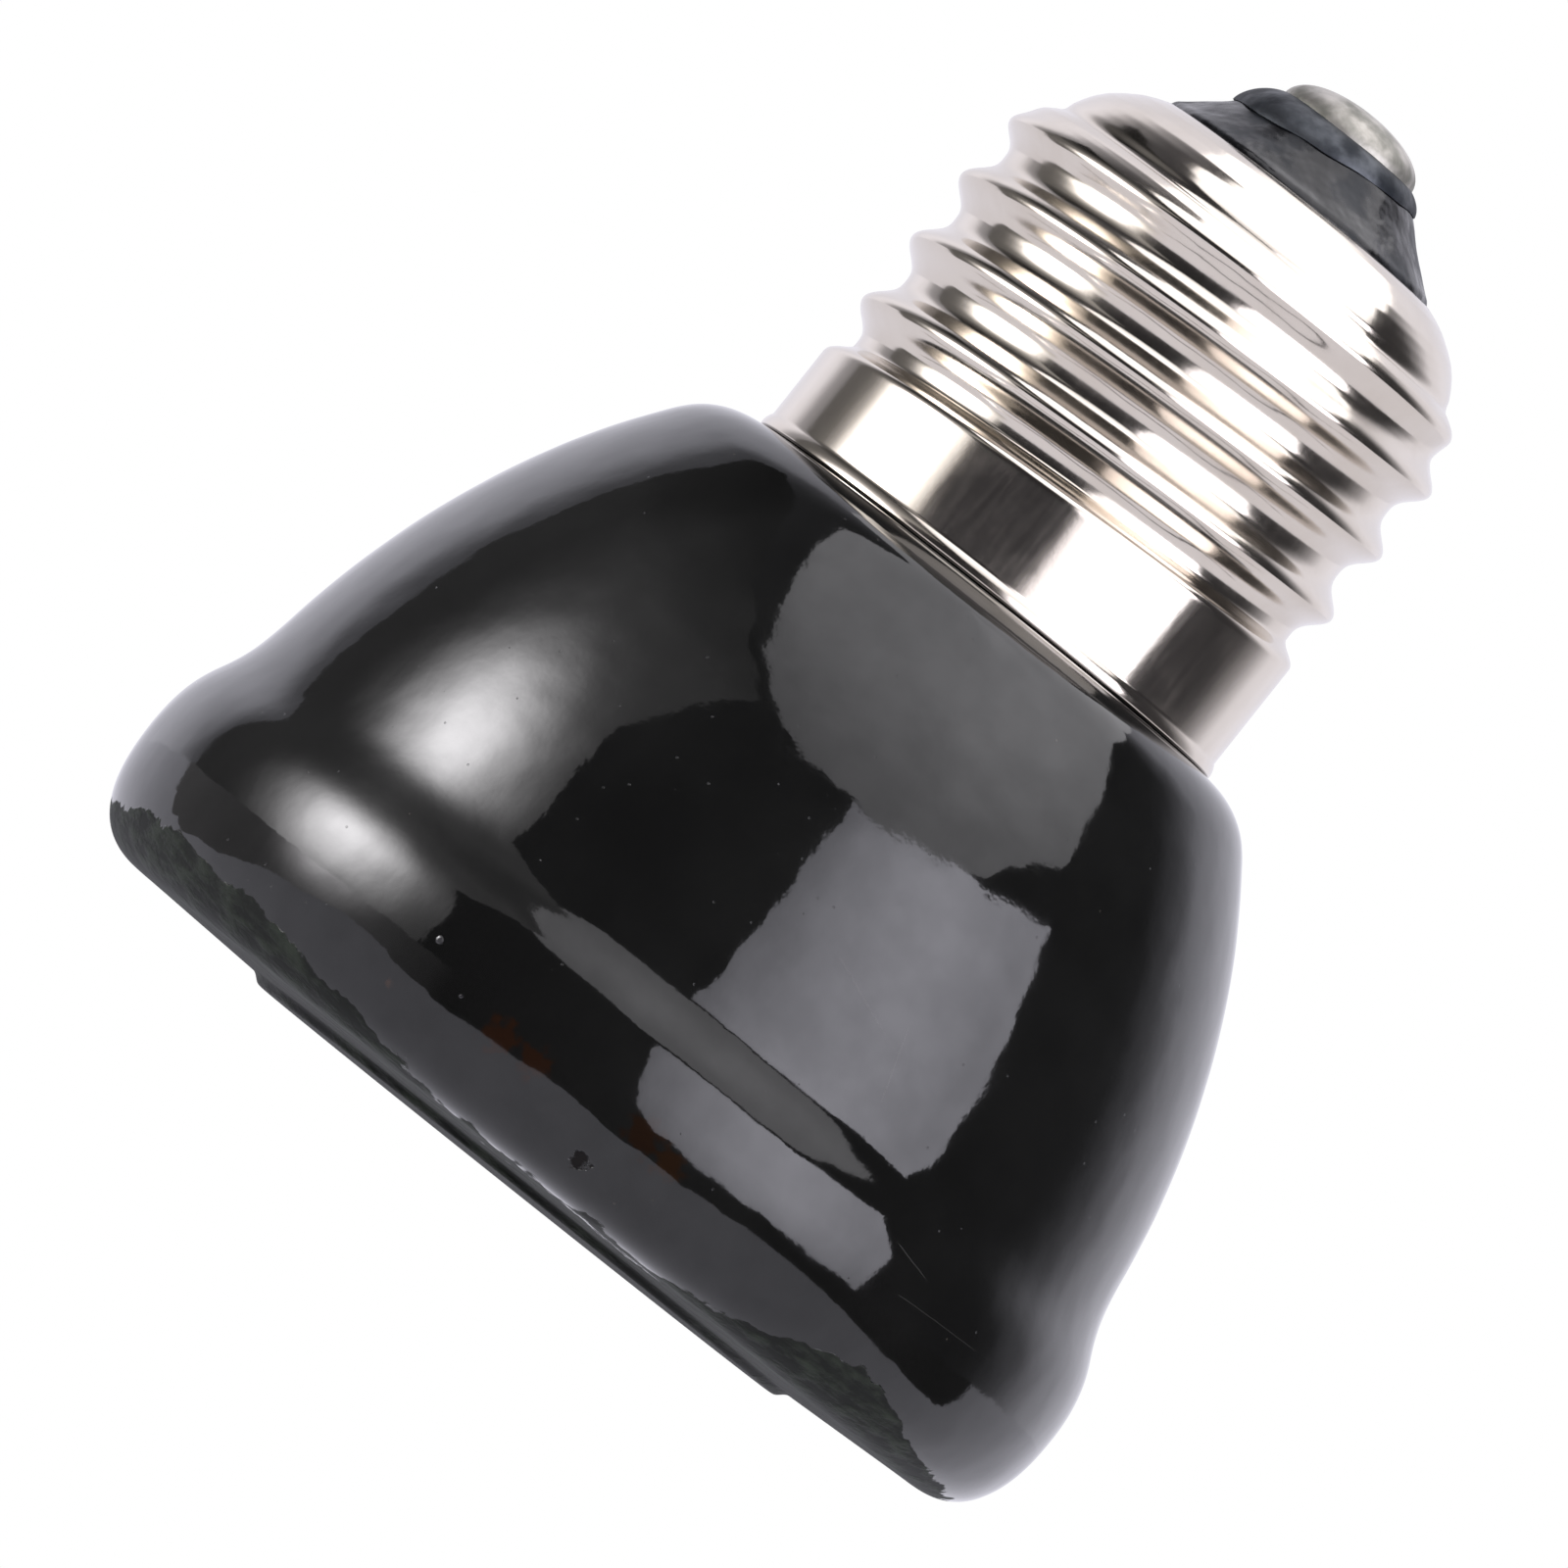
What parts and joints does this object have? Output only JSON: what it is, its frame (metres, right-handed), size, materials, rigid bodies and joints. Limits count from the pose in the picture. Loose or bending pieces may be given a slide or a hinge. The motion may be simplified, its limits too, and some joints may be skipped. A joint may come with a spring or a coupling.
{
  "type": "ceramic heat emitter",
  "caption": "Bell-shaped black glazed ceramic heat emitter that screws into a lamp holder by a nickel-plated threaded cap and gives off heat without light.",
  "frame": {"origin": "middle of the face's pad, which it stands on", "axes": "+Z along the axis from the face to the contact; the two leads lie in the XZ plane"},
  "size_m": [0.053, 0.053, 0.0632],
  "materials": {
    "black_glaze": "black gloss glaze with pits and fine scratches",
    "cement": "matt set cement",
    "nickel_shell": "satin nickel plate on rolled sheet",
    "black_glass": "opaque black moulded glass",
    "tinned_contact": "dull tinned eyelet",
    "solder": "dull soft solder",
    "lead_wire": "bare nickel wire"
  },
  "bodies": {
    "root": {"ceramic_body": "black_glaze", "basing_cement": "cement", "screw_shell": "nickel_shell", "glass_insulator": "black_glass", "centre_contact": "tinned_contact", "contact_solder": "solder", "centre_lead": "lead_wire", "side_lead": "lead_wire"}
  },
  "joints": []
}
